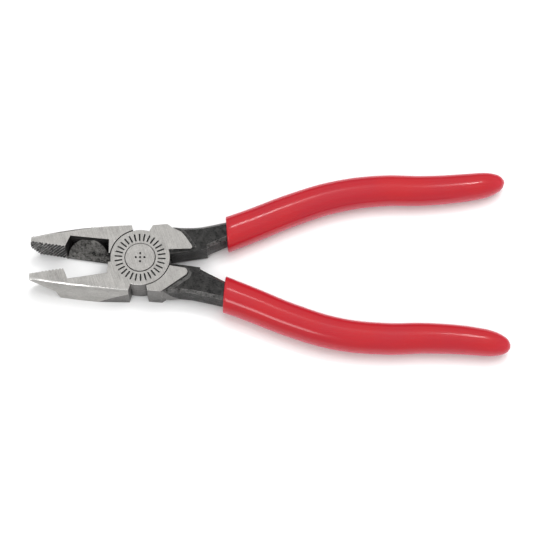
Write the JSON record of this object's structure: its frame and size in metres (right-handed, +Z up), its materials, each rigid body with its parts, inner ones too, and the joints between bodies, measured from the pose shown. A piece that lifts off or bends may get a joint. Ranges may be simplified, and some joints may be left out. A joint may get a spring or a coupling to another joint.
{
  "type": "lineman pliers",
  "caption": "Lap-joint lineman pliers with knurled jaws, side cutters, a riveted pivot and dipped vinyl grips, opening and closing about the pivot.",
  "frame": {"origin": "pivot axis in the plane of the lower faces, on which the tool rests", "axes": "+Z up along the pivot axis, -X towards the jaws, +X towards the handles"},
  "size_m": [0.187, 0.0772, 0.0121],
  "materials": {
    "polished_steel": "ground and polished head, black oxide behind it",
    "rivet_steel": "polished flush rivet",
    "red_vinyl": "dipped red vinyl, semi-gloss"
  },
  "bodies": {
    "upper_jaw_half": {"upper_jaw_lever": "polished_steel", "upper_jaw_grip": "red_vinyl", "pivot_rivet": "rivet_steel"},
    "lower_jaw_half": {"lower_jaw_lever": "polished_steel", "lower_jaw_grip": "red_vinyl"}
  },
  "joints": [
    {"name": "pivot", "type": "hinge", "parent": "upper_jaw_half", "child": "lower_jaw_half", "pos_m": [0, 0, 0.006], "axis": [0, 0, 1], "range_deg": [-17.2, 28]}
  ]
}
